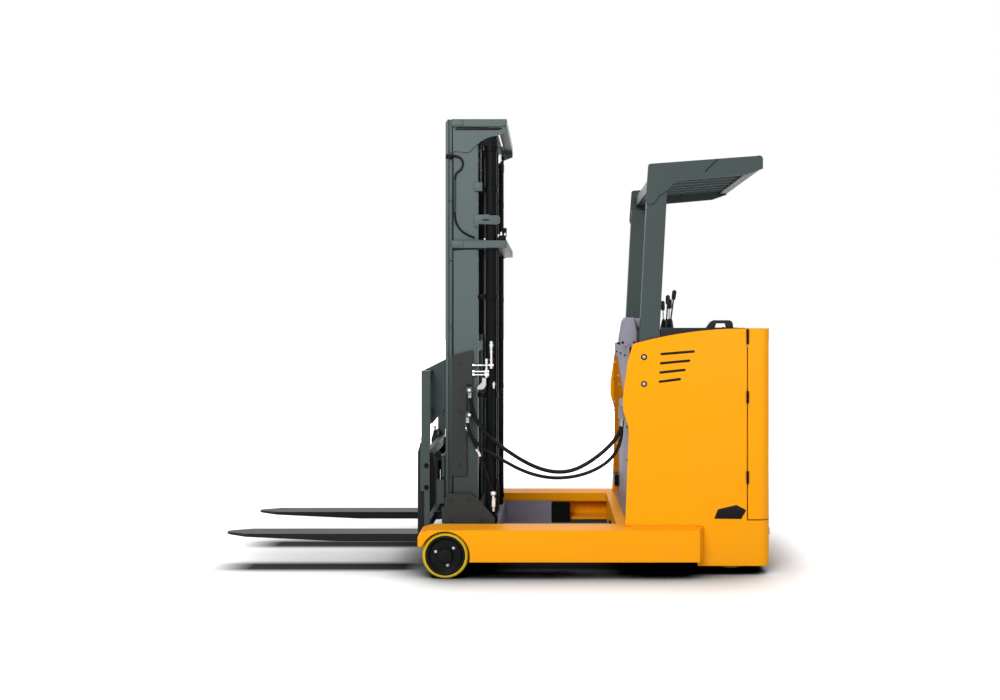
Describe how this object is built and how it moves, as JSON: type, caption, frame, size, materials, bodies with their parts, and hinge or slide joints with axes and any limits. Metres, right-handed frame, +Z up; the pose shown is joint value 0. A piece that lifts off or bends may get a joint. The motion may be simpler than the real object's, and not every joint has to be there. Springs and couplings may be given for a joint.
{
  "type": "stand-up reach truck",
  "caption": "Stand-up reach truck: a two-stage mast on rollers reaches out between two legs, with tilting forks, an overhead guard and a stand-up operator's place.",
  "frame": {"origin": "on the floor, in the middle of the truck's length and width", "axes": "+X forward over the forks, +Y to the operator's left, +Z up"},
  "size_m": [3.032, 1.13, 2.5],
  "materials": {
    "black_steel": "black painted steel",
    "body_paint": "warm yellow gloss paint",
    "chrome": "hard chrome rod",
    "grey_paint": "lavender-grey paint",
    "mast_paint": "dark green-grey paint",
    "plastic": "black textured plastic",
    "rubber": "black rubber",
    "steel": "bare steel",
    "tyre": "yellow polyurethane tread"
  },
  "bodies": {
    "chassis": {"leg_left": "body_paint", "leg_right": "body_paint", "rear_frame": "black_steel", "side_panel_left": "body_paint", "side_panel_right": "body_paint", "door_hinges": "black_steel", "front_wall": "grey_paint", "valve_cover": "grey_paint", "rubber_buffers": "rubber", "battery": "black_steel", "dashboard": "plastic", "grab_handle": "plastic", "control_levers": "plastic", "operator_floor": "plastic", "back_pad": "plastic", "guard_post_left": "mast_paint", "guard_post_right": "mast_paint", "guard_roof": "mast_paint", "reach_cylinder": "black_steel"},
    "rear_door": {"rear_door": "body_paint"},
    "steering_wheel": {"steering_wheel": "plastic"},
    "load_wheel_left": {"load_tyre_left": "tyre", "load_hub_left": "black_steel"},
    "load_wheel_right": {"load_tyre_right": "tyre", "load_hub_right": "black_steel"},
    "drive_unit": {"drive_unit": "black_steel"},
    "drive_wheel": {"drive_hub": "black_steel", "drive_tyre": "tyre"},
    "caster": {"caster_fork": "black_steel"},
    "caster_wheels": {"caster_hubs": "black_steel", "caster_tyres": "tyre"},
    "mast": {"reach_carriage": "grey_paint", "carriage_rollers": "steel", "reach_rod": "chrome", "outer_mast": "mast_paint", "lift_cylinders": "black_steel", "mast_covers": "mast_paint", "mast_hoses": "rubber", "hydraulic_pipes": "steel", "hose_upper_outer": "rubber", "hose_upper_inner": "rubber", "hose_lower": "rubber"},
    "inner_mast": {"inner_mast": "mast_paint", "lift_rods": "chrome", "chain_pulleys": "steel", "chain_front": "steel", "chain_rear": "steel"},
    "lift_carriage": {"lift_carriage": "mast_paint", "lift_rollers": "steel", "tilt_cylinder": "black_steel"},
    "tilt_rod": {"tilt_rod": "chrome"},
    "fork_frame": {"fork_frame": "mast_paint", "fork_left": "black_steel", "fork_right": "black_steel", "load_backrest": "mast_paint"}
  },
  "joints": [
    {"name": "mast_reach", "type": "slide", "parent": "chassis", "child": "mast", "axis": [1, 0, 0], "range_m": [-0.55, 0], "deforming": ["hose_upper_outer", "hose_upper_inner", "hose_lower"]},
    {"name": "mast_lift", "type": "slide", "parent": "mast", "child": "inner_mast", "axis": [0, 0, 1], "range_m": [-0.05, 1.9], "deforming": ["chain_rear"]},
    {"name": "carriage_lift", "type": "slide", "parent": "inner_mast", "child": "lift_carriage", "axis": [0, 0, 1], "range_m": [-0.05, 1.9], "deforming": ["chain_front"]},
    {"name": "fork_tilt", "type": "hinge", "parent": "lift_carriage", "child": "fork_frame", "pos_m": [0.33, 0, 0.255], "axis": [0, -1, 0], "range_deg": [-3, 5]},
    {"name": "tilt_rod_slide", "type": "slide", "parent": "lift_carriage", "child": "tilt_rod", "axis": [1, 0, 0], "range_m": [-0.04, 0.03]},
    {"name": "drive_steer", "type": "hinge", "parent": "chassis", "child": "drive_unit", "pos_m": [-1.318, 0.295, 0.165], "axis": [0, 0, 1], "range_deg": [-90, 90]},
    {"name": "drive_roll", "type": "hinge", "parent": "drive_unit", "child": "drive_wheel", "pos_m": [-1.318, 0.295, 0.165], "axis": [0, 1, 0], "continuous": true},
    {"name": "caster_swivel", "type": "hinge", "parent": "chassis", "child": "caster", "pos_m": [-1.318, -0.3, 0.19], "axis": [0, 0, 1], "continuous": true},
    {"name": "caster_roll", "type": "hinge", "parent": "caster", "child": "caster_wheels", "pos_m": [-1.363, -0.3, 0.089], "axis": [0, 1, 0], "continuous": true},
    {"name": "load_roll_left", "type": "hinge", "parent": "chassis", "child": "load_wheel_left", "pos_m": [0.25, 0.498, 0.124], "axis": [0, 1, 0], "continuous": true},
    {"name": "load_roll_right", "type": "hinge", "parent": "chassis", "child": "load_wheel_right", "pos_m": [0.25, -0.498, 0.124], "axis": [0, 1, 0], "continuous": true},
    {"name": "door_hinge", "type": "hinge", "parent": "chassis", "child": "rear_door", "pos_m": [-1.381, 0.4863, 0.8], "axis": [0, 0, -1], "range_deg": [0, 110]},
    {"name": "steering_turn", "type": "hinge", "parent": "chassis", "child": "steering_wheel", "pos_m": [-1.226, 0.235, 1.3], "axis": [0, 0, 1], "continuous": true}
  ],
  "couplings": [
    {"joint": "carriage_lift", "follows": "mast_lift", "ratio": 1},
    {"joint": "tilt_rod_slide", "follows": "fork_tilt", "m_per_rad": -0.305}
  ]
}
